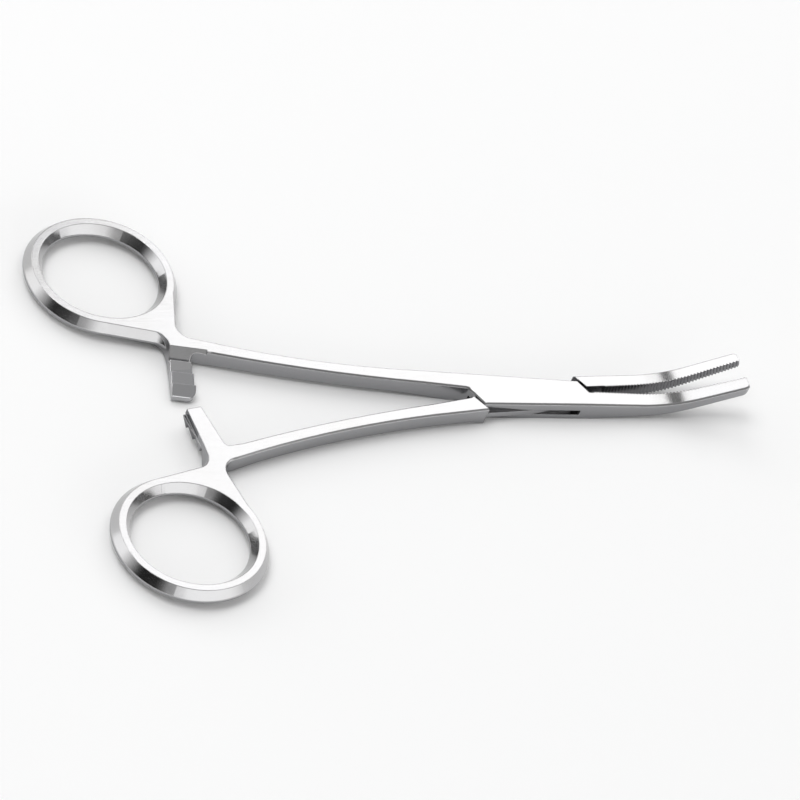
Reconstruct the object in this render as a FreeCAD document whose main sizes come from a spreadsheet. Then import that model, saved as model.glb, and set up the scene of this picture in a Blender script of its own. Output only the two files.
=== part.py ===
import FreeCAD, Part
import math
import os
import Sketcher
from FreeCAD import Placement, Rotation, Vector

# Curved hemostat forceps with a box lock, three-tooth ratchets and finger rings.
# Millimetres. +X runs from the rings to the jaws, +Y towards the slotted half's ring, +Z up.
# The origin is on the hinge pin's axis, at the flat underside of the box lock.
# Each half is drawn in the closed pose and turned about the pin into the resting pose.

SIZES = [
    ("half_opening", 2.75, "turn of each half from the closed to the resting pose, degrees"),
    ("box_thickness", 4.1, "thickness of the box lock"),
    ("box_half_width", 3.5, "pin axis to the side of the box"),
    ("top_plate", 1.75, "thickness of the plate above the slot"),
    ("slot_height", 1.25, "height of the slot through the box"),
    ("slot_clearance", 0.05, "gap above and below the waist in the slot"),
    ("window_radius", 11.0, "radius of the slot's round end walls about the pin"),
    ("window_clearance", 0.15, "gap between the waist and the slot's end walls"),
    ("waist_set_in", 0.05, "how far the waist's sides lie inside the sides of the box"),
    ("shoulder_reach", 12.5, "pin axis to the shoulders of the box, along the closed jaws"),
    ("shoulder_angle", 58.0, "angle of the shoulders to the closed jaws, degrees"),
    ("shoulder_clearance", 0.2, "gap between the shoulders of the two halves"),
    ("pin_radius", 1.5, "hinge pin radius"),
    ("pin_clearance", 0.03, "running clearance of the pin in the waist"),
    ("front_half_width", 2.95, "pin axis line to the outer side at the front shoulder"),
    ("shank_box_x", 22.0, "distance behind the pin where the shank starts to curve"),
    ("shank_box_outer", 4.85, "outer side of the shank there"),
    ("shank_box_inner", 1.55, "inner side of the shank there"),
    ("waist_half_set_in", 0.35, "how much closer in the outer sides of the waist half run"),
    ("shank_mid_x", 44.0, "distance behind the pin of the middle of the shank"),
    ("shank_mid_outer", 6.9, "outer side of the shank at its middle"),
    ("shank_mid_inner", 4.2, "inner side of the shank at its middle"),
    ("shank_root_x", 66.0, "distance behind the pin of the shank's root"),
    ("shank_root_outer", 11.45, "outer side of the shank at its root"),
    ("shank_root_inner", 8.3, "inner side of the shank at its root"),
    ("crotch_offset", 0.5, "inner side of the shank at the shoulder"),
    ("crotch_radius", 1.2, "rounding of the crotch between the shank and the shoulder"),
    ("slotted_slope_foot", 16.5, "pin to the foot of the slotted half's slope under the shank"),
    ("slotted_slope_run", 10.0, "run of that slope"),
    ("waist_slope_foot", 10.5, "pin to the foot of the waist half's slope under the shank"),
    ("waist_slope_run", 3.0, "run of that slope"),
    ("shank_root_slope", 0.2, "slope of the shank's outer side at its root"),
    ("shank_rise", 0.8, "height of the shank's underside above the box's underside"),
    ("neck_rise", 0.5, "height of the neck's underside above the box's underside"),
    ("ring_x", 81.1, "distance behind the pin of the finger ring's centre"),
    ("ring_y", 27.95, "distance of the ring's centre from the closed jaws' line"),
    ("ring_long", 13.35, "half length of the ring's centre line, lengthwise"),
    ("ring_short", 12.6, "half length of the ring's centre line, crosswise"),
    ("ring_end_offset", 1.0, "offset of the centres of the ring's end arcs"),
    ("ring_flat", 1.34, "width of the ring's upper and lower flats"),
    ("ring_half_width", 2.05, "half width of the ring's section at its widest level"),
    ("ring_thickness", 3.6, "ring thickness between its two flats"),
    ("ring_wide_level", 1.95, "height of the ring's widest level above the box's underside"),
    ("ring_edge_radius", 0.7, "rounding of the ring's edges at its widest level"),
    ("neck_lean", 10.3, "lean of the neck's outer side, degrees"),
    ("neck_radius", 2.9, "radius of the hollow between the neck and the shank"),
    ("web_lean", 11.5, "lean of the neck's edge on the ratchet's side, degrees"),
    ("web_radius", 3.0, "radius of the hollow between the neck and the ratchet arm"),
    ("bead_inset", 0.05, "how far the bead's flat lies inside the neck's edge"),
    ("bead_radius", 4.2, "radius of the bead's path round the same hollow"),
    ("arm_root_y", 7.8, "jaws' line to the root of the ratchet arm"),
    ("arm_root_left", 71.9, "pin to the ring side of the ratchet arm's root"),
    ("arm_root_right", 67.8, "pin to the jaw side of the ratchet arm's root"),
    ("arm_tip_left", 73.1, "pin to the ring side of the ratchet arm's tip"),
    ("arm_tip_right", 68.45, "pin to the jaw side of the ratchet arm's tip"),
    ("arm_root_radius", 0.9, "rounding of the corner between the arm and the shank"),
    ("arm_pass", 0.8, "reach of the ratchet arm past the closed jaws' line"),
    ("arm_tip_radius", 1.5, "rounding of the arm's tip on the jaw side"),
    ("arm_step_left", 0.55, "step in the arm's ring side above the teeth, at the tip"),
    ("arm_step_right", 1.3, "step in the arm's jaw side above the teeth, at the tip"),
    ("step_rise", 0.3, "height of the steps above the roots of the teeth"),
    ("arm_angle", 8.0, "lean of the teeth's edges, degrees"),
    ("teeth_level", 2.175, "middle height of the two arms' teeth"),
    ("first_tooth", 2.1, "ratchet arm's tip to the first tooth's edge"),
    ("tooth_pitch", 2.85, "pitch of the ratchet teeth"),
    ("tooth_height", 1.0, "height of the ratchet teeth"),
    ("arm_gap", 0.9, "height between the roots of the two arms' teeth"),
    ("tip_fall", 0.3, "how far the arm's tip lies behind the roots of its teeth"),
    ("teeth_cut_width", 9.6, "width of the cut that clears the teeth"),
    ("tooth_wall_foot", 0.5, "last tooth's edge to the foot of the wall behind it"),
    ("tooth_wall_run", 1.9, "run of the sloping wall behind the teeth"),
    ("tooth_count", 3, "teeth on each ratchet arm"),
    ("jaw_tip_x", 44.8, "pin axis to the tip's upper edge"),
    ("jaw_root_reach", 1.0, "shoulders to where the jaw's outer side starts to taper"),
    ("jaw_root_side", 3.35, "outer side of the jaw at its root"),
    ("jaw_tip_side", 2.6, "outer side of the jaw at its tip"),
    ("jaw_bend_x", 29.8, "where the lines of the jaw's upper face meet at the bend"),
    ("jaw_dip", 0.5, "fall of the upper face from the box to the bend"),
    ("jaw_rise", 5.7, "rise of the upper face from the bend to the tip"),
    ("jaw_mid_thickness", 2.45, "thickness of the jaw at the bend"),
    ("jaw_tip_thickness", 1.9, "thickness of the jaw at the tip"),
    ("fold_radius", 60.0, "radius of the fold where the jaw's upper face leaves the box"),
    ("bend_radius", 32.0, "radius of the jaw's bend"),
    ("bend_shift", 0.3, "forward shift of the lower face's bend"),
    ("tip_round_outer", 1.6, "plan radius of the tip's outer corner"),
    ("tip_round_inner", 0.6, "plan radius of the tip's inner corner"),
    ("groove_start", 13.9, "pin axis to the first serration"),
    ("groove_pitch", 0.68, "pitch of the jaw serrations"),
    ("groove_depth", 0.3, "depth of the jaw serrations"),
    ("groove_land", 0.07, "flat left on each serration's crest"),
    ("jaw_gap", 0.04, "gap between the meshing serrations of the closed jaws"),
    ("edge_bevel", 0.32, "bevel along the upper edges"),
]

document = FreeCAD.newDocument("hemostat")
sheet = document.addObject("Spreadsheet::Sheet", "sizes")
for row, (alias, value, note) in enumerate(SIZES, start=1):
    sheet.set(f"A{row}", note)
    sheet.set(f"B{row}", str(value))
    sheet.setAlias(f"B{row}", alias)
document.recompute()


def size(alias):
    """Value of a driving dimension from the sheet."""
    return float(getattr(sheet, alias))


# Levels above the underside of the box.
TOP = size("box_thickness")
SLOT_TOP = TOP - size("top_plate")
SLOT_BOTTOM = SLOT_TOP - size("slot_height")
RING_LEVEL = size("ring_wide_level")
RING_BOTTOM = TOP - size("ring_thickness")
SHANK_BOTTOM = size("shank_rise")
NECK_BOTTOM = size("neck_rise")

# Places along the jaws.
SHOULDER_X = size("shoulder_reach")
SHOULDER_SLOPE = math.tan(math.radians(size("shoulder_angle")))
CREST = (size("groove_depth") - size("jaw_gap")) / 2
VALLEY = -(size("groove_depth") + size("jaw_gap")) / 2
JAW_TIP_TOP = TOP - size("jaw_dip") + size("jaw_rise")
TIP_SLOPE = math.atan2(size("jaw_rise"), size("jaw_tip_x") - size("jaw_bend_x"))
TIP_END_X = size("jaw_tip_x") + size("jaw_tip_thickness") * math.sin(TIP_SLOPE)

# Room left around the part by the outlines of cuts.
BEYOND = 6.0

# Where the jaw's outer side starts to taper.
JAW_ROOT_X = SHOULDER_X + size("jaw_root_reach")


def bend_line(points, radius):
    """Tangent points and middle of the arc that rounds the middle one of three points."""
    first, corner, last = points
    toward_first = (first - corner).normalize()
    toward_last = (last - corner).normalize()
    half_angle = toward_first.getAngle(toward_last) / 2
    reach = radius / math.tan(half_angle)
    start = corner + toward_first * reach
    end = corner + toward_last * reach
    bisector = (toward_first + toward_last).normalize()
    middle = corner + bisector * (radius / math.sin(half_angle) - radius)
    return start, middle, end


def jaw_upper_line():
    """Corner points of the jaw's upper face in the side view, x and z."""
    bend_z = TOP - size("jaw_dip")
    return [
        Vector(SHOULDER_X, TOP),
        Vector(size("jaw_bend_x"), bend_z),
        Vector(size("jaw_tip_x"), JAW_TIP_TOP),
    ]


def jaw_lower_line():
    """Corner points of the jaw's lower face in the side view, x and z."""
    bend_z = TOP - size("jaw_dip") - size("jaw_mid_thickness")
    return [
        Vector(JAW_ROOT_X, 0),
        Vector(size("jaw_bend_x") + size("bend_shift"), bend_z),
        Vector(TIP_END_X, JAW_TIP_TOP - size("jaw_tip_thickness") * math.cos(TIP_SLOPE)),
    ]


class Outline:
    """A closed chain of lines and arcs for a sketch, mirrored across X where side is -1."""

    def __init__(self, side=1):
        self.side = side
        self.edges = []
        self.at = None

    def point(self, x, y):
        return Vector(x, self.side * y, 0)

    def start(self, x, y):
        self.at = self.point(x, y)
        return self

    def line(self, x, y):
        end = self.point(x, y)
        self.edges.append(Part.LineSegment(self.at, end))
        self.at = end
        return self

    def arc(self, middle_x, middle_y, x, y):
        middle = self.point(middle_x, middle_y)
        end = self.point(x, y)
        self.edges.append(Part.Arc(self.at, middle, end))
        self.at = end
        return self

    def corner(self, corner_x, corner_y, x, y, radius):
        """A line to a rounded corner, the rounding, and nothing of the line that leaves it."""
        points = [Vector(self.at), self.point(corner_x, corner_y), self.point(x, y)]
        start, middle, end = bend_line(points, radius)
        self.edges.append(Part.LineSegment(self.at, start))
        self.edges.append(Part.Arc(start, middle, end))
        self.at = end
        return self


def sketch_on(body, name, plane, outline, offset=None):
    """A sketch of the body on one of its own origin planes."""
    sketch = body.newObject("Sketcher::SketchObject", name)
    role = plane + "_Plane"
    base = [item for item in body.Origin.OriginFeatures if item.Role == role][0]
    sketch.AttachmentSupport = [(base, "")]
    sketch.MapMode = "FlatFace"
    if offset is not None:
        sketch.AttachmentOffset = offset
    for edge in outline.edges:
        sketch.addGeometry(edge, False)
    document.recompute()
    return sketch


def pocket(body, name, sketch, length, midplane=False, reverse=False):
    """A cut of the sketch's outline, which must take something away."""
    before = body.Shape.Volume
    feature = body.newObject("PartDesign::Pocket", name)
    feature.Profile = sketch
    feature.Midplane = midplane
    feature.Reversed = reverse
    if isinstance(length, str):
        feature.setExpression("Length", length)
    else:
        feature.Length = length
    document.recompute()
    if body.Shape.Volume > before - 1e-4:
        raise RuntimeError(name + " cuts nothing")
    return feature


def ring_point(radius_offset, angle):
    """Point beside the ring's centre line at an angle about the ring's centre, in degrees."""
    turn = math.radians(angle)
    radius = size("ring_long") * math.cos(turn) ** 2 + size("ring_short") * math.sin(turn) ** 2
    radius += radius_offset
    return -size("ring_x") + radius * math.cos(turn), size("ring_y") + radius * math.sin(turn)


def web_corner(inset):
    """Where the neck's edge on the ratchet's side, moved inwards, meets the arm's ring side."""
    edge = size("ring_flat") / 2
    touch_x, touch_y = ring_point(edge - inset, -90 - size("web_lean"))
    corner_x = -size("arm_root_left") + inset
    fall = math.tan(math.radians(size("web_lean")))
    return corner_x, touch_y - (corner_x - touch_x) * fall


def plan_outline(side):
    """Plan of a half: shank, box, jaw, neck and ratchet arm, with a bare edge inside the ring."""
    outline = Outline(side)
    set_in = size("waist_half_set_in") if side < 0 else 0
    crotch_y = size("crotch_offset")
    crotch_x = -SHOULDER_X - crotch_y / SHOULDER_SLOPE
    box_side = size("box_half_width")
    front_side = size("front_half_width")
    root_x = -size("shank_root_x")
    mid_x = -size("shank_mid_x")
    box_x = -size("shank_box_x")

    # From the shank round the crotch, down the rear shoulder and along the box to the jaw's tip.
    outline.start(box_x, size("shank_box_inner"))
    rear_x = -SHOULDER_X + box_side / SHOULDER_SLOPE
    outline.corner(crotch_x, crotch_y, rear_x, -box_side, size("crotch_radius"))
    outline.line(rear_x, -box_side)
    tip_side = size("jaw_tip_side") - set_in
    outline.line(JAW_ROOT_X, set_in - size("jaw_root_side"))
    outline.corner(TIP_END_X, -tip_side, TIP_END_X, CREST, size("tip_round_outer"))
    outline.corner(TIP_END_X, CREST, size("groove_start"), CREST, size("tip_round_inner"))

    # Back along the crests of the serrations, over the relief and up the front shoulder.
    outline.line(size("groove_start"), CREST)
    outline.line(size("groove_start") - CREST + VALLEY, VALLEY)
    outline.line(SHOULDER_X - VALLEY / SHOULDER_SLOPE, VALLEY)
    outline.line(SHOULDER_X - front_side / SHOULDER_SLOPE, front_side)

    # Outer side of the shank, the hollow of the neck and up to the ring's flat.
    outline.line(box_x, size("shank_box_outer") - set_in)
    outline.arc(mid_x, size("shank_mid_outer"), root_x, size("shank_root_outer"))
    edge = size("ring_flat") / 2
    touch = ring_point(edge, -size("neck_lean"))
    fall = touch[1] - size("shank_root_outer")
    foot_x = touch[0] - fall * math.tan(math.radians(size("neck_lean")))
    foot_y = size("shank_root_outer") + size("shank_root_slope") * (root_x - foot_x)
    outline.corner(foot_x, foot_y, touch[0], touch[1], size("neck_radius"))
    outline.line(*touch)

    # Round inside the ring's section and out again on the ratchet's side.
    web_angle = -90 - size("web_lean")
    outline.line(*ring_point(0, -size("neck_lean")))
    outline.arc(*ring_point(0, (web_angle - size("neck_lean")) / 2), *ring_point(0, web_angle))
    outline.line(*ring_point(edge, web_angle))

    # The hollow beside the ratchet arm, the arm, and the root of the shank.
    corner_x, corner_y = web_corner(0)
    tip_y = -size("arm_pass")
    tip_left = -size("arm_tip_left")
    tip_right = -size("arm_tip_right")
    root_left = -size("arm_root_left")
    root_right = -size("arm_root_right")
    arm_root_y = size("arm_root_y")
    outline.corner(corner_x, corner_y, root_left, arm_root_y, size("web_radius"))
    outline.line(root_left, arm_root_y)
    outline.line(tip_left, tip_y)
    tip_drop = (tip_right - tip_left) * math.tan(math.radians(size("arm_angle")))
    outline.corner(tip_right, tip_y - tip_drop, root_right, arm_root_y, size("arm_tip_radius"))
    inner_y = size("shank_root_inner")
    outline.corner(root_right + 0.1, inner_y + 0.15, root_x, inner_y, size("arm_root_radius"))
    outline.line(root_x, inner_y)
    outline.arc(mid_x, size("shank_mid_inner"), box_x, size("shank_box_inner"))
    return outline


def above_outline():
    """Side view of what lies over the upper face of the half, x and z."""
    first, corner, last = jaw_upper_line()
    start, middle, end = bend_line([first, corner, last], size("bend_radius"))
    high = JAW_TIP_TOP + BEYOND
    far_left = -size("ring_x") - size("ring_long") - BEYOND
    foot = last + Vector(math.sin(TIP_SLOPE), -math.cos(TIP_SLOPE)) * (size("jaw_tip_thickness") + 1.0)
    outline = Outline()
    outline.start(far_left, TOP).corner(first.x, first.y, start.x, start.y, size("fold_radius"))
    outline.line(start.x, start.y)
    outline.arc(middle.x, middle.y, end.x, end.y).line(last.x, last.y).line(foot.x, foot.y)
    outline.line(foot.x + BEYOND, foot.y).line(foot.x + BEYOND, high).line(far_left, high).line(far_left, TOP)
    return outline


def below_outlines(side):
    """Side views of what lies under the shank and under the jaw, x and z."""
    first, corner, last = jaw_lower_line()
    start, middle, end = bend_line([first, corner, last], size("bend_radius"))
    past = last + (last - corner).normalize() * BEYOND
    low = -BEYOND
    far_left = -size("ring_x") - size("ring_long") - BEYOND
    neck_end = -size("shank_root_x")
    slope = "slotted_slope" if side > 0 else "waist_slope"
    slope_end = -size(slope + "_foot")
    slope_run = size(slope + "_run")
    shank = Outline()
    shank.start(far_left, NECK_BOTTOM).line(neck_end, NECK_BOTTOM)
    shank.line(neck_end + BEYOND, SHANK_BOTTOM).line(slope_end - slope_run, SHANK_BOTTOM)
    shank.line(slope_end, 0).line(slope_end, low).line(far_left, low).line(far_left, NECK_BOTTOM)
    jaw = Outline()
    jaw.start(first.x, first.y).line(start.x, start.y).arc(middle.x, middle.y, end.x, end.y)
    jaw.line(past.x, past.y).line(past.x, low).line(first.x, low).line(first.x, first.y)
    return shank, jaw


def upper_level(x):
    """Height of the upper face at a place along X, without the rounding of the jaw's bend."""
    for start, end in zip(jaw_upper_line(), jaw_upper_line()[1:]):
        if start.x < x <= end.x + 0.1:
            return start.y + (end.y - start.y) * (x - start.x) / (end.x - start.x)
    return TOP


def bevel_upper_edges(body, side):
    """Bevel along the upper edges of shank, box and jaw, but not on the jaw's inner face."""
    base = body.Tip
    names = []
    for number, edge in enumerate(base.Shape.Edges, start=1):
        start, end = edge.Vertexes[0].Point, edge.Vertexes[-1].Point
        first, last = edge.ParameterRange
        middle = edge.valueAt((first + last) / 2)
        y = side * middle.y
        upper = min(point.z - upper_level(point.x) for point in (start, middle, end)) > -0.1
        across = middle.x > SHOULDER_X - 2.0 and abs(end.x - start.x) < 0.65 * abs(end.y - start.y)
        inner = middle.x > SHOULDER_X and VALLEY - 0.01 < y < CREST + 0.01
        arm = middle.x < -size("shank_root_x") and y < size("shank_root_outer")
        web = middle.x < -(size("arm_root_left") + size("arm_root_right")) / 2
        ring = middle.x < -size("shank_root_x") and y > size("ring_y") - BEYOND
        if upper and not across and not inner and not arm and not web and not ring:
            names.append(f"Edge{number}")
    bevel = body.newObject("PartDesign::Chamfer", body.Name + "_bevel")
    bevel.Base = (base, names)
    bevel.setExpression("Size", "sizes.edge_bevel")
    document.recompute()
    return bevel


def add_ring(body, side):
    """The finger ring: a section with two flats swept along an oval, and its bead on the neck."""
    long_half = size("ring_long")
    short_half = size("ring_short")
    offset = size("ring_end_offset")
    end_radius = long_half - offset
    side_radius = (short_half ** 2 + offset ** 2 - end_radius ** 2) / (2 * (short_half - end_radius))
    center = (-size("ring_x"), size("ring_y"))
    join = math.atan2(side_radius - short_half, offset)

    path = Outline(side)
    joins = {}
    for sign_x in (1, -1):
        for sign_y in (1, -1):
            joins[sign_x, sign_y] = (
                center[0] + sign_x * (offset + end_radius * math.cos(join)),
                center[1] + sign_y * end_radius * math.sin(join),
            )
    east = (center[0] + long_half, center[1])
    path.start(*east)
    half_turn = join / 2
    path.arc(
        center[0] + offset + end_radius * math.cos(half_turn),
        center[1] + end_radius * math.sin(half_turn),
        *joins[1, 1],
    )
    path.arc(center[0], center[1] + short_half, *joins[-1, 1])
    path.arc(center[0] - long_half, center[1], *joins[-1, -1])
    path.arc(center[0], center[1] - short_half, *joins[1, -1])
    path.arc(
        center[0] + offset + end_radius * math.cos(half_turn),
        center[1] - end_radius * math.sin(half_turn),
        *east,
    )
    level = Placement(Vector(0, 0, RING_LEVEL), Rotation())
    spine = sketch_on(body, body.Name + "_ring_path", "XY", path, level)
    add_pipe(body, body.Name + "_ring", spine, east, side)

    # The same section runs on from the ring along the neck and sinks into the ratchet arm.
    inset = size("ring_flat") / 2 + size("bead_inset")
    end_x, end_y = ring_point(-size("bead_inset"), -90 - size("web_lean"))
    corner_y = web_corner(inset)[1]
    sunk_x = size("ring_half_width") - size("arm_root_left")
    corner_y -= (sunk_x - web_corner(inset)[0]) * math.tan(math.radians(size("web_lean")))
    bead = Outline(side)
    bead.start(sunk_x, size("arm_root_y"))
    bead.corner(sunk_x, corner_y, end_x, end_y, size("bead_radius"))
    bead.line(end_x, end_y)
    bead_spine = sketch_on(body, body.Name + "_bead_path", "XY", bead, level)
    add_pipe(body, body.Name + "_bead", bead_spine, (sunk_x, size("arm_root_y")), side)


def add_pipe(body, name, spine, start, side):
    """Sweep of the ring's section along a path that starts square to the XZ plane."""
    half_flat = size("ring_flat") / 2
    half_width = size("ring_half_width")
    radius = size("ring_edge_radius")
    x, y = start
    section = Outline()
    section.start(x - half_flat, TOP).line(x + half_flat, TOP)
    section.corner(x + half_width, RING_LEVEL, x + half_flat, RING_BOTTOM, radius)
    section.line(x + half_flat, RING_BOTTOM).line(x - half_flat, RING_BOTTOM)
    section.corner(x - half_width, RING_LEVEL, x - half_flat, TOP, radius)
    section.line(x - half_flat, TOP)
    offset = Placement(Vector(0, 0, -side * y), Rotation())
    profile = sketch_on(body, name + "_section", "XZ", section, offset)
    pipe = body.newObject("PartDesign::AdditivePipe", name)
    pipe.Profile = profile
    pipe.Spine = (spine, [])
    document.recompute()
    return pipe


def cut_ratchet(body, side, upper):
    """Saw teeth on the arm: its upper part is cut away where upper is true, else its lower part."""
    pitch = size("tooth_pitch")
    first = size("first_tooth")
    count = int(size("tooth_count"))
    if upper:
        root = size("teeth_level") - size("arm_gap") / 2
        crest = root + size("tooth_height")
        tip = root - size("tip_fall")
        edge = TOP
        beyond = TOP + 1.0
    else:
        root = size("teeth_level") + size("arm_gap") / 2
        crest = root - size("tooth_height")
        tip = root + size("tip_fall")
        edge = NECK_BOTTOM
        beyond = -1.0
    ahead = -3.0 * side
    waste = Outline()
    waste.start(ahead, tip).line(0, tip)
    for tooth in range(count):
        station = side * (first + tooth * pitch)
        waste.line(station, crest).line(station, root)
    wall_foot = first + (count - 1) * pitch + size("tooth_wall_foot")
    wall_run = size("tooth_wall_run") * abs(beyond - root) / abs(edge - root)
    waste.line(side * wall_foot, root).line(side * (wall_foot + wall_run), beyond)
    waste.line(ahead, beyond).line(ahead, tip)
    middle_x = (size("arm_tip_left") + size("arm_tip_right")) / 2
    offset = Placement(
        Vector(-side * size("arm_pass"), 0, -middle_x),
        Rotation(Vector(0, 1, 0), -side * size("arm_angle")),
    )
    sketch = sketch_on(body, body.Name + "_teeth_outline", "YZ", waste, offset)
    pocket(body, body.Name + "_teeth", sketch, "sizes.teeth_cut_width", midplane=True)
    if upper:
        return

    # Above its teeth this arm is narrower than the toothed part.
    tip_y = -size("arm_pass")
    root_y = size("arm_root_y")
    for name, root_x, tip_x, step, away in (
        ("left", -size("arm_root_left"), -size("arm_tip_left"), size("arm_step_left"), -1),
        ("right", -size("arm_root_right"), -size("arm_tip_right"), -size("arm_step_right"), 1),
    ):
        strip = Outline(side)
        strip.start(root_x, root_y).line(tip_x + step, tip_y - 2.0)
        strip.line(tip_x + 4.0 * away, tip_y - 2.0).line(root_x + 0.5 * away, root_y).line(root_x, root_y)
        level = Placement(Vector(0, 0, TOP), Rotation())
        sketch = sketch_on(body, body.Name + "_step_outline_" + name, "XY", strip, level)
        pocket(body, body.Name + "_step_" + name, sketch, TOP - root - size("step_rise"))


def cut_slot(body, side):
    """The slot through the box, with round end walls about the pin."""
    radius = size("window_radius")
    reach = math.sqrt(radius ** 2 - BEYOND ** 2)
    bulge = math.atan2(BEYOND, reach) / 2
    far = SHOULDER_X + 4.0
    slot = Outline(side)
    slot.start(-far, 0).line(-far, -BEYOND).line(reach, -BEYOND)
    slot.arc(radius * math.cos(bulge), -radius * math.sin(bulge), radius, 0)
    slot.line(far, 0).line(far, BEYOND).line(-reach, BEYOND)
    slot.arc(-radius * math.cos(bulge), radius * math.sin(bulge), -radius, 0)
    slot.line(-far, 0)
    level = Placement(Vector(0, 0, SLOT_TOP), Rotation())
    sketch = sketch_on(body, body.Name + "_slot_outline", "XY", slot, level)
    return pocket(body, body.Name + "_slot", sketch, "sizes.slot_height")


def cut_waist(body, side):
    """The waist that passes through the slot: relieved above and below and trimmed in plan."""
    clearance = size("shoulder_clearance") / math.sin(math.radians(size("shoulder_angle")))
    rear = -SHOULDER_X - clearance
    front = SHOULDER_X + clearance
    rise = BEYOND / SHOULDER_SLOPE
    relief = Outline(side)
    relief.start(rear - rise, -BEYOND).line(front - rise, -BEYOND).line(front + rise, BEYOND)
    relief.line(rear + rise, BEYOND).line(rear - rise, -BEYOND)
    top_level = Placement(Vector(0, 0, TOP), Rotation())
    sketch = sketch_on(body, body.Name + "_upper_relief_outline", "XY", relief, top_level)
    pocket(body, body.Name + "_upper_relief", sketch, "sizes.top_plate + sizes.slot_clearance")
    low_level = Placement(Vector(0, 0, 0), Rotation())
    sketch = sketch_on(body, body.Name + "_lower_relief_outline", "XY", relief, low_level)
    depth = "sizes.box_thickness - sizes.top_plate - sizes.slot_height + sizes.slot_clearance"
    pocket(body, body.Name + "_lower_relief", sketch, depth, reverse=True)

    radius = size("window_radius") - size("window_clearance")
    gap = size("window_clearance")
    half_width = size("box_half_width") - size("waist_set_in")
    reach = math.sqrt(radius ** 2 - half_width ** 2)
    start = math.sqrt(radius ** 2 - gap ** 2)
    bulge = math.atan2(half_width, reach) / 2
    rear_x = rear + half_width / SHOULDER_SLOPE
    for turn, tail in ((1, "rear"), (-1, "front")):
        trim = Outline(side)
        trim.start(-turn * (SHOULDER_X + 4.0), turn * gap).line(-turn * start, turn * gap)
        middle = (-turn * radius * math.cos(bulge), -turn * radius * math.sin(bulge))
        trim.arc(*middle, -turn * reach, -turn * half_width)
        if turn == 1:
            trim.line(-reach, -BEYOND)
            trim.line(-SHOULDER_X - 4.0, -BEYOND)
        else:
            trim.line(rear_x, half_width)
            trim.line(rear + rise, BEYOND)
            trim.line(SHOULDER_X + 4.0, BEYOND)
        trim.line(-turn * (SHOULDER_X + 4.0), turn * gap)
        level = Placement(Vector(0, 0, TOP + 1.0), Rotation())
        sketch = sketch_on(body, body.Name + "_trim_outline_" + tail, "XY", trim, level)
        pocket(body, body.Name + "_trim_" + tail, sketch, TOP + 2.0)


def cut_pin_hole(body, clearance):
    """The hinge pin's hole, a press fit where the clearance is nothing."""
    hole = body.newObject("Sketcher::SketchObject", body.Name + "_pin_hole_outline")
    plane = [item for item in body.Origin.OriginFeatures if item.Role == "XY_Plane"][0]
    hole.AttachmentSupport = [(plane, "")]
    hole.MapMode = "FlatFace"
    hole.addGeometry(Part.Circle(Vector(0, 0, 0), Vector(0, 0, 1), size("pin_radius") + clearance), False)
    hole.addConstraint(Sketcher.Constraint("Coincident", 0, 3, -1, 1))
    radius = hole.addConstraint(Sketcher.Constraint("Radius", 0, size("pin_radius") + clearance))
    if clearance:
        hole.setExpression(f"Constraints[{radius}]", "sizes.pin_radius + sizes.pin_clearance")
    else:
        hole.setExpression(f"Constraints[{radius}]", "sizes.pin_radius")
    document.recompute()
    return pocket(body, body.Name + "_pin_hole", hole, "2 * sizes.box_thickness + 2", midplane=True)


def serration_cutter(name, side, phase):
    """V grooves square to the jaw's upper line, all the way through its inner face."""
    first, corner, last = jaw_upper_line()
    start, _, end = bend_line([first, corner, last], size("bend_radius"))
    radius = size("bend_radius")
    into = (start - first).normalize()
    out = (last - end).normalize()
    bend = math.acos(into.dot(out))
    straight = size("groove_start") - SHOULDER_X
    entry = (start - first).Length
    curve = radius * bend
    total = entry + curve + (last - end).Length
    pitch = size("groove_pitch")
    slope = (pitch - size("groove_land")) / 2 / size("groove_depth")
    proud = 0.15
    half_width = (size("groove_depth") + proud) * slope
    grooves = []
    station = straight + (0.5 + phase) * pitch
    while station < total + pitch:
        if station < entry:
            angle = math.atan2(into.y, into.x)
            place = first + into * station
        elif station < entry + curve:
            turned = (station - entry) / radius
            angle = math.atan2(into.y, into.x) + turned
            center = start + Vector(-into.y, into.x) * radius
            place = center + Vector(math.sin(angle), -math.cos(angle)) * radius
        else:
            angle = math.atan2(out.y, out.x)
            place = end + out * (station - entry - curve)
        along = Vector(math.cos(angle), 0, math.sin(angle))
        down = Vector(math.sin(angle), 0, -math.cos(angle))
        foot = Vector(place.x, 0, place.y) - down * 1.0
        corners = [
            foot + Vector(0, side * VALLEY, 0),
            foot + along * half_width + Vector(0, side * (CREST + proud), 0),
            foot - along * half_width + Vector(0, side * (CREST + proud), 0),
        ]
        wire = Part.makePolygon(corners + corners[:1])
        grooves.append(Part.Face(wire).extrude(down * (TOP + 2.0)))
        station += pitch
    cutter = document.addObject("Part::Feature", name)
    cutter.Shape = Part.makeCompound(grooves)
    return cutter


def make_half(label, side, upper_arm):
    """One forged half of the forceps, in the closed pose, turned to the resting pose."""
    body = document.addObject("PartDesign::Body", label + "_body")
    sketch = sketch_on(body, body.Name + "_plan", "XY", plan_outline(side))
    blank = body.newObject("PartDesign::Pad", body.Name + "_blank")
    blank.Profile = sketch
    blank.setExpression("Length", "sizes.box_thickness - sizes.jaw_dip + sizes.jaw_rise + 1")
    document.recompute()
    above = sketch_on(body, body.Name + "_above", "XZ", above_outline())
    pocket(body, body.Name + "_upper_face", above, 200.0, midplane=True)
    for number, outline in enumerate(below_outlines(side), start=1):
        below = sketch_on(body, body.Name + f"_below_{number}", "XZ", outline)
        pocket(body, body.Name + f"_lower_face_{number}", below, 200.0, midplane=True)
    bevel_upper_edges(body, side)
    add_ring(body, side)
    cut_ratchet(body, side, upper_arm)
    return body


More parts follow.
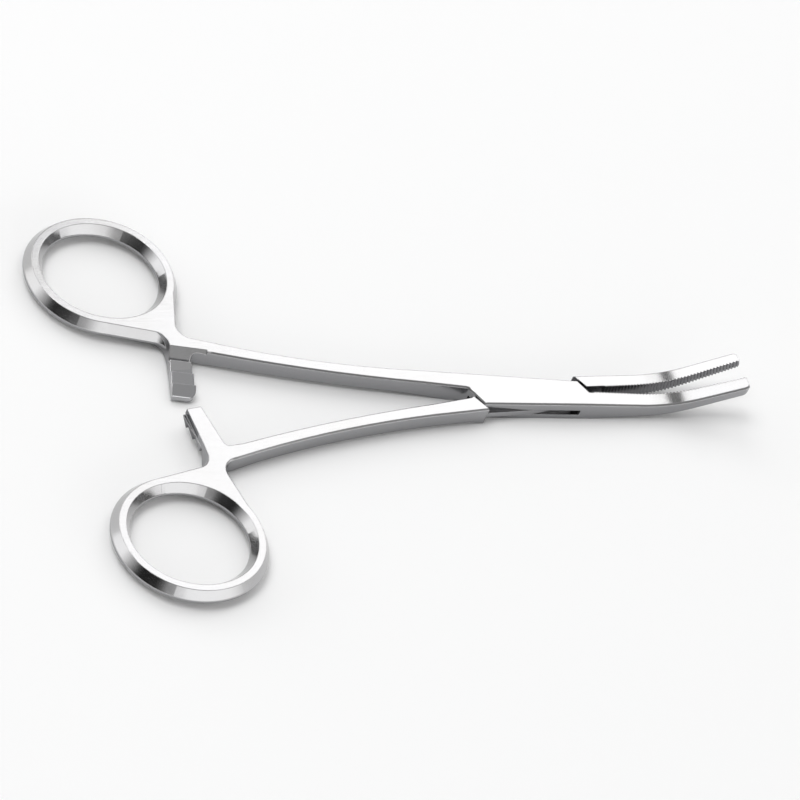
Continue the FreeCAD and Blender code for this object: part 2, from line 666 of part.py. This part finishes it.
female = make_half("box_half", 1, True)
cut_slot(female, 1)
cut_pin_hole(female, 0)
male = make_half("waist_half", -1, False)
cut_waist(male, -1)
cut_pin_hole(male, size("pin_clearance"))

cutters = [
    serration_cutter("box_half_grooves", 1, 0.0),
    serration_cutter("waist_half_grooves", -1, 0.5),
]

nodes = []
halves = [(female, cutters[0], "box_half", "-"), (male, cutters[1], "waist_half", "")]
for body, cutter, label, sign in halves:
    for item in (body, cutter):
        item.setExpression("Placement.Rotation.Angle", sign + "sizes.half_opening")
    cut = document.addObject("Part::Cut", label)
    cut.Base = body
    cut.Tool = cutter
    cut.Label = label
    nodes.append(cut)

pin = document.addObject("Part::Cylinder", "hinge_pin")
pin.setExpression("Radius", "sizes.pin_radius")
pin.setExpression("Height", "sizes.box_thickness")
pin.Label = "hinge_pin"
nodes.append(pin)
document.recompute()

for item in document.Objects:
    if "Invalid" in item.State or "Error" in item.State:
        raise RuntimeError(item.Label + " failed: " + ", ".join(item.State))
for node in nodes:
    if node.Shape.isNull() or not node.Shape.isValid():
        raise RuntimeError(node.Label + " has no valid shape")

os.makedirs("parts", exist_ok=True)
for node in nodes:
    node.Shape.exportStep("parts/" + node.Label + ".step")
    box = node.Shape.BoundBox
    print(f"{node.Label}: volume {node.Shape.Volume:.1f} mm3, {len(node.Shape.Solids)} solid,"
          f" x {box.XMin:.2f} to {box.XMax:.2f}, y {box.YMin:.2f} to {box.YMax:.2f},"
          f" z {box.ZMin:.2f} to {box.ZMax:.2f}")
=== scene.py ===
"""Curved hemostat forceps of polished stainless steel, lying on white paper under soft studio light."""

import logging
import math
from dataclasses import dataclass
from enum import Enum
from typing import Any

import bpy
from mathutils import Matrix, Vector


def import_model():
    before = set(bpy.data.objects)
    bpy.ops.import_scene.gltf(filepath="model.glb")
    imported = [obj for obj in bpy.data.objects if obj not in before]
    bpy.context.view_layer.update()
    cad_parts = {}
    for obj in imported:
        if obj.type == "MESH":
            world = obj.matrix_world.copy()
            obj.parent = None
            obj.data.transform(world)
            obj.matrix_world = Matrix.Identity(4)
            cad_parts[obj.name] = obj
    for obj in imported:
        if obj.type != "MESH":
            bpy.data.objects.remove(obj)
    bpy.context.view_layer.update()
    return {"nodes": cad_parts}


LOG = logging.getLogger("forceps")
MM = 0.001


def linear_rgb(code: str) -> tuple[float, float, float, float]:
    """Turn an sRGB hex code into linear colour.

    Args:
        code: Six hex digits, such as "c8c8ca".

    Returns:
        Linear red, green, blue and an alpha of 1.
    """
    parts = [int(code[place:place + 2], 16) / 255 for place in (0, 2, 4)]
    low_limit, low_slope, offset, power = 0.04045, 12.92, 0.055, 2.4
    out = [
        part / low_slope if part <= low_limit else ((part + offset) / (1 + offset)) ** power
        for part in parts
    ]
    return out[0], out[1], out[2], 1.0


def add_node(tree: bpy.types.NodeTree, kind: str, links: dict[Any, Any] | None = None, **settings: Any) -> Any:
    """Add a node, set its properties and sockets, and link its inputs.

    Args:
        tree: The node tree that gets the node.
        kind: The node's type name.
        links: Input name or number to either an output socket to link or a value to set.
        settings: Properties of the node itself.

    Returns:
        The new node.
    """
    node = tree.nodes.new(kind)
    for name, value in settings.items():
        setattr(node, name, value)
    for name, value in (links or {}).items():
        socket = node.inputs[name]
        if isinstance(value, bpy.types.NodeSocket):
            tree.links.new(value, socket)
        else:
            socket.default_value = value
    return node


class Facing(Enum):
    """Which way faces look.

    Each option names a part of the normal, the middle of its size and how far the size may be from that.
    """

    ANY_WAY = ("Z", 0.5, 0.6)
    LEVEL = ("Z", 1.0, 0.05)
    UPRIGHT = ("Z", 0.0, 0.3)
    STEEP = ("Z", 0.0, 0.5)
    ACROSS = ("Y", 0.7, 0.35)


@dataclass(frozen=True)
class Zone:
    """The faces that look one way and lie within reach of middle, in millimetres along x and y."""

    middle: tuple[float, float]
    reach: tuple[float, float]
    facing: Facing = Facing.ANY_WAY

    def mask(self, tree: bpy.types.NodeTree, coordinates: bpy.types.Node) -> bpy.types.NodeSocket:
        """Build the nodes that find the zone.

        Args:
            tree: The material's node tree.
            coordinates: The texture coordinate node.

        Returns:
            A socket that is 1 inside the zone and 0 outside.
        """
        normal = add_node(tree, "ShaderNodeSeparateXYZ", {"Vector": coordinates.outputs["Normal"]})
        place = add_node(tree, "ShaderNodeSeparateXYZ", {"Vector": coordinates.outputs["Object"]})
        part, usual, apart = self.facing.value
        turned = add_node(tree, "ShaderNodeMath", {0: normal.outputs[part]}, operation="ABSOLUTE")
        limit = {0: turned.outputs["Value"], 1: usual, 2: apart}
        inside = add_node(tree, "ShaderNodeMath", limit, operation="COMPARE")
        for axis, middle, reach in zip(("X", "Y"), self.middle, self.reach):
            values = {0: place.outputs[axis], 1: middle * MM, 2: reach * MM}
            within = add_node(tree, "ShaderNodeMath", values, operation="COMPARE")
            both = {0: inside.outputs["Value"], 1: within.outputs["Value"]}
            inside = add_node(tree, "ShaderNodeMath", both, operation="MULTIPLY")
        return inside.outputs["Value"]


@dataclass(frozen=True)
class GroundSteelAndPaintedShade:
    """Faces that keep the grinding wheel's cut, how they shine, and the colour they get, which on the darker ones
    is painted shade.
    """

    zone: Zone
    roughness: float
    colour: str


@dataclass(frozen=True)
class SteelFinish:
    """Hardened stainless steel, buffed to a mirror along the forging, with fine polishing lines left in it."""

    name: str
    colour: str
    cloud_colour: str
    roughness: float
    streak_share: float = 0.4
    streak_values: tuple[float, float] = (0.3, 0.7)
    line_mm: float = 0.07
    line_length_mm: float = 3.0
    line_depth_mm: float = 0.0006
    cloud_mm: float = 9.0
    edge_mm: float = 0.2
    edge_samples: int = 6
    flush: Zone = Zone((0.0, 0.0), (2.2, 2.2), Facing.LEVEL)
    ground: tuple[GroundSteelAndPaintedShade, ...] = ()

    def polishing_lines(self, tree: bpy.types.NodeTree, place: bpy.types.NodeSocket) -> bpy.types.NodeSocket:
        """Noise drawn out along the forceps, the way the buffing wheel ran.

        Args:
            tree: The material's node tree.
            place: Object coordinates in metres.

        Returns:
            The noise's value.
        """
        across, along = 1 / (self.line_mm * MM), 1 / (self.line_length_mm * MM)
        drawn = add_node(
            tree, "ShaderNodeVectorMath", {0: place, 1: (along, across, across)}, operation="MULTIPLY")
        lines = {"Vector": drawn.outputs["Vector"], "Scale": 1.0, "Detail": 3.0, "Roughness": 0.55}
        return add_node(tree, "ShaderNodeTexNoise", lines).outputs["Fac"]

    def build(self) -> bpy.types.Material:
        """Make the node material of this finish.

        Returns:
            The material.
        """
        material = bpy.data.materials.new(self.name)
        material.use_nodes = True
        tree = material.node_tree
        shader = tree.nodes["Principled BSDF"]
        shader.inputs["Metallic"].default_value = 1.0
        coordinates = add_node(tree, "ShaderNodeTexCoord")
        place = coordinates.outputs["Object"]
        lines = self.polishing_lines(tree, place)

        # Faint clouding of the buffed surface, slightly warmer and darker where less metal came off.
        clouds = {"Vector": place, "Scale": 1 / (self.cloud_mm * MM), "Detail": 2.0}
        cloud = add_node(tree, "ShaderNodeTexNoise", clouds)
        tones = {
            "Fac": cloud.outputs["Fac"],
            "Color1": linear_rgb(self.colour),
            "Color2": linear_rgb(self.cloud_colour),
        }
        colour = add_node(tree, "ShaderNodeMixRGB", tones).outputs["Color"]

        # The polishing lines scatter light a little more in some streaks than in others.
        spread = self.streak_share * self.roughness
        streaks = {
            "Value": lines,
            "From Min": self.streak_values[0],
            "From Max": self.streak_values[1],
            "To Min": self.roughness - spread,
            "To Max": self.roughness + spread,
        }
        rough = add_node(tree, "ShaderNodeMapRange", streaks).outputs["Result"]

        # The wheel's fine scratches were never buffed out of the ground faces, so they shine less and, on the
        # upper ratchet, look a little greyer. The darker greys mixed in on the sides, the serrated jaw faces and
        # the lower ratchet's teeth are painted shade.
        for faces in self.ground:
            mask = faces.zone.mask(tree, coordinates)
            ends = {0: mask, 2: rough, 3: faces.roughness}
            rough = add_node(tree, "ShaderNodeMix", ends, data_type="FLOAT").outputs[0]
            tones = {"Fac": mask, "Color1": colour, "Color2": linear_rgb(faces.colour)}
            colour = add_node(tree, "ShaderNodeMixRGB", tones).outputs["Color"]
        tree.links.new(rough, shader.inputs["Roughness"])
        tree.links.new(colour, shader.inputs["Base Color"])

        # Buffing rounds every edge a little, which draws a fine line of reflection along it. The pin's ends are
        # ground flush with the box and buffed over, so the joint around them has no line.
        flush = self.flush.mask(tree, coordinates)
        widths = {"Value": flush, "To Min": self.edge_mm * MM, "To Max": 0.0}
        radius = add_node(tree, "ShaderNodeMapRange", widths).outputs["Result"]
        edge = add_node(tree, "ShaderNodeBevel", {"Radius": radius}, samples=self.edge_samples)
        relief = {"Distance": self.line_depth_mm * MM, "Height": lines, "Normal": edge.outputs["Normal"]}
        bump = add_node(tree, "ShaderNodeBump", relief)
        tree.links.new(bump.outputs["Normal"], shader.inputs["Normal"])
        return material


@dataclass
class Forceps:
    """The two forged halves and the pin of the box lock, as the frame brings them."""

    nodes: dict[str, bpy.types.Object]

    # Forged martensitic stainless steel, mirror-polished: bright flats and soft bands of reflection on the rings.
    forged: SteelFinish = SteelFinish(
        "mirror_polished_forged_steel", "bababc", "b3b2b1", 0.14,
        ground=(
            # The sides of the forging, where the flash was trimmed off: brushed, so rougher than the flats; their
            # darker grey is painted shade.
            GroundSteelAndPaintedShade(Zone((-25.0, 0.0), (75.0, 60.0), Facing.UPRIGHT), 0.19, "9c9c9e"),
            # The serrated faces of the jaws: ground, so rougher; their dark grey is painted shade.
            GroundSteelAndPaintedShade(Zone((29.5, 0.0), (15.8, 2.6), Facing.ACROSS), 0.16, "868688"),
            # The ratchet of the slotted half with its teeth up, then the other one with its teeth down, whose
            # steep faces get a dark grey that is painted shade.
            GroundSteelAndPaintedShade(Zone((-70.5, 4.4), (4.2, 4.2)), 0.16, "b0b0b2"),
            GroundSteelAndPaintedShade(Zone((-70.5, -4.4), (4.2, 4.2), Facing.STEEP), 0.24, "707072"),
        ),
    )

    # A stainless steel pin, riveted and polished together with the box, so its ends look like the box around them.
    riveted: SteelFinish = SteelFinish("flush_riveted_pin_steel", "bababb", "b3b2b1", 0.14)

    def dress(self) -> None:
        """Give each node of the frame its steel."""
        forged = self.forged.build()
        riveted = self.riveted.build()
        for name, node in self.nodes.items():
            steel = riveted if name == "hinge_pin" else forged
            for slot in node.material_slots:
                slot.material = steel
            LOG.info("dressed %s in %s", name, steel.name)


@dataclass(frozen=True)
class StudioPaper:
    """Seamless white paper: matt, so the lens sees it white and it takes the object's soft shadow."""

    name: str = "studio_paper"
    colour: str = "fafafa"
    roughness: float = 0.9
    half_m: float = 3.0

    def build(self) -> bpy.types.Material:
        """Make the paper's material.

        Returns:
            A rough material without gloss.
        """
        material = bpy.data.materials.new(self.name)
        material.use_nodes = True
        shader = material.node_tree.nodes["Principled BSDF"]
        shader.inputs["Base Color"].default_value = linear_rgb(self.colour)
        shader.inputs["Roughness"].default_value = self.roughness
        shader.inputs["Specular IOR Level"].default_value = 0.0
        return material

    def lay(self) -> None:
        """Lay the paper under the forceps."""
        half = self.half_m
        corners = [(-half, -half, 0), (half, -half, 0), (half, half, 0), (-half, half, 0)]
        mesh = bpy.data.meshes.new("paper")
        mesh.from_pydata(corners, [], [(0, 1, 2, 3)])
        mesh.materials.append(self.build())
        floor = bpy.data.objects.new("paper", mesh)
        bpy.context.scene.collection.objects.link(floor)
        LOG.info("laid the %s", self.name)


@dataclass(frozen=True)
class Softbox:
    """A soft box by its direction in degrees, its size in metres and the brightness of its face."""

    name: str
    azimuth: float
    elevation: float
    width: float
    height: float
    brightness: float
    distance: float = 3.0

    def hang(self) -> None:
        """Hang the soft box so that it faces the box lock."""
        data = bpy.data.lights.new(self.name, "AREA")
        data.shape = "RECTANGLE"
        data.size, data.size_y = self.width, self.height
        data.energy = self.brightness * math.pi * self.width * self.height
        lamp = bpy.data.objects.new(self.name, data)
        azimuth, elevation = math.radians(self.azimuth), math.radians(self.elevation)
        toward = Vector((
            math.cos(azimuth) * math.cos(elevation),
            math.sin(azimuth) * math.cos(elevation),
            math.sin(elevation),
        ))
        lamp.location = toward * self.distance
        lamp.rotation_euler = toward.to_track_quat("Z", "Y").to_euler()
        bpy.context.scene.collection.objects.link(lamp)
        LOG.info("hung the %s", self.name)


@dataclass(frozen=True)
class StudioRoom:
    """The room that the steel mirrors: pale walls with one dark side, under a dimmer ceiling.

    The ceiling's stops are pairs of the direction's z and brightness, and the walls' are pairs of azimuth in
    degrees and brightness. The dark side gives the rings their black bands. The room passes from walls to
    ceiling between the two heights of the blend, as the direction's z.
    """

    ceiling: tuple[tuple[float, float], ...] = ((0.5, 0.42), (0.7, 0.28), (0.8, 0.12), (0.88, 0.55), (1.0, 0.60))
    walls: tuple[tuple[float, float], ...] = (
        (-180, 0.80), (-174, 0.50), (-166, 0.10), (-159, 0.01), (-135, 0.01), (-127, 0.15), (-114, 0.65),
        (-95, 1.70), (-45, 1.70), (0, 0.65), (60, 0.30), (100, 0.65), (130, 1.70), (165, 1.70), (180, 0.80),
    )
    blend: tuple[float, float] = (0.3, 0.5)

    def ramp(
        self, tree: bpy.types.NodeTree, value: bpy.types.NodeSocket, stops: tuple[tuple[float, float], ...]
    ) -> bpy.types.NodeSocket:
        """Turn a value into a brightness.

        Args:
            tree: The world's node tree.
            value: A socket between 0 and 1.
            stops: Pairs of value and brightness.

        Returns:
            The brightness as a grey.
        """
        node = add_node(tree, "ShaderNodeValToRGB", {"Fac": value})
        while len(node.color_ramp.elements) < len(stops):
            node.color_ramp.elements.new(0.5)
        for element, (place, brightness) in zip(node.color_ramp.elements, stops):
            element.position = place
            element.color = (brightness, brightness, brightness, 1.0)
        return node.outputs["Color"]

    def build(self) -> None:
        """Surround the forceps with the room."""
        world = bpy.data.worlds.new("studio")
        bpy.context.scene.world = world
        world.use_nodes = True
        tree = world.node_tree
        direction = add_node(tree, "ShaderNodeTexCoord").outputs["Generated"]
        parts = add_node(tree, "ShaderNodeSeparateXYZ", {"Vector": direction})
        angle = {0: parts.outputs["Y"], 1: parts.outputs["X"]}
        turn = add_node(tree, "ShaderNodeMath", angle, operation="ARCTAN2").outputs["Value"]
        ends = {"Value": turn, "From Min": -math.pi, "From Max": math.pi}
        around = add_node(tree, "ShaderNodeMapRange", ends).outputs["Result"]
        turns = tuple(((azimuth + 180) / 360, brightness) for azimuth, brightness in self.walls)
        walls = self.ramp(tree, around, turns)
        ceiling = self.ramp(tree, parts.outputs["Z"], self.ceiling)
        ends = {"Value": parts.outputs["Z"], "From Min": self.blend[0], "From Max": self.blend[1]}
        height = add_node(tree, "ShaderNodeMapRange", ends, interpolation_type="SMOOTHSTEP").outputs["Result"]
        mixed = add_node(tree, "ShaderNodeMixRGB", {"Fac": height, "Color1": walls, "Color2": ceiling})
        tree.links.new(mixed.outputs["Color"], tree.nodes["Background"].inputs["Color"])
        LOG.info("built the %s", world.name)


@dataclass(frozen=True)
class ProductCamera:
    """A long lens that sees the forceps as the photograph does.

    The angles are in degrees. The top of the box on the pin's axis, top_mm above the paper, falls on pivot_px.
    """

    top_mm: float = 4.1
    scale_px_per_mm: float = 5.2
    azimuth: float = -36.86
    elevation: float = 44.12
    roll: float = 26.26
    pivot_px: tuple[float, float] = (530.04, 390.66)
    distance_px: float = 5000.0
    image_px: float = 800.0
    sensor_mm: float = 36.0
    clip_end_m: float = 20.0

    def axes(self) -> tuple[Vector, Vector, Vector]:
        """Work out the camera's axes from its fitted angles.

        Returns:
            Unit vectors to the image's right, down and back towards the camera.
        """
        a, e, r = (math.radians(angle) for angle in (self.azimuth, self.elevation, self.roll))
        back = Vector((math.sin(a) * math.cos(e), -math.cos(a) * math.cos(e), math.sin(e)))
        level = Vector((math.cos(a), math.sin(a), 0.0))
        up = back.cross(level)
        right = math.cos(r) * level + math.sin(r) * up
        down = math.sin(r) * level - math.cos(r) * up
        return right, down, back

    def place(self) -> None:
        """Place the camera and make it the scene's."""
        right, down, back = self.axes()
        middle = self.image_px / 2
        offset = right * (self.pivot_px[0] - middle) + down * (self.pivot_px[1] - middle)
        distance = self.distance_px / self.scale_px_per_mm
        aim = Vector((0.0, 0.0, self.top_mm)) - offset / self.scale_px_per_mm
        turn = Matrix((right, -down, back)).transposed().to_4x4()
        camera = bpy.data.objects.new("camera", bpy.data.cameras.new("camera"))
        bpy.context.scene.collection.objects.link(camera)
        camera.matrix_world = Matrix.Translation((aim + back * distance) * MM) @ turn
        camera.data.sensor_width = self.sensor_mm
        camera.data.lens = self.sensor_mm * self.distance_px / self.image_px
        camera.data.clip_end = self.clip_end_m
        bpy.context.scene.camera = camera
        LOG.info("placed the camera")


@dataclass(frozen=True)
class Studio:
    """Paper, room, soft boxes and camera.

    The flats of the forceps mirror the back soft box and the jaws' tips the side one. The dim gap between the
    two gives the dark band across the bend of the jaws. The top one lights the paper.
    """

    paper: StudioPaper = StudioPaper()
    room: StudioRoom = StudioRoom()
    softboxes: tuple[Softbox, ...] = (
        Softbox("back_softbox", 41.5, 42, 1.60, 1.72, 1.9),
        Softbox("side_softbox", 102, 45, 1.44, 2.20, 1.9),
        Softbox("top_softbox", 165, 63, 1.50, 1.50, 4.4),
    )
    camera: ProductCamera = ProductCamera()

    def build(self) -> None:
        """Set up everything around the forceps."""
        bpy.context.scene.view_settings.view_transform = "Standard"
        self.paper.lay()
        self.room.build()
        for softbox in self.softboxes:
            softbox.hang()
        self.camera.place()


def main() -> None:
    """Load the frame, dress it and build the studio."""
    logging.basicConfig(level=logging.INFO, format="%(name)s: %(message)s")
    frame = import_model()
    Forceps(frame["nodes"]).dress()
    Studio().build()


if __name__ == "__main__":
    main()
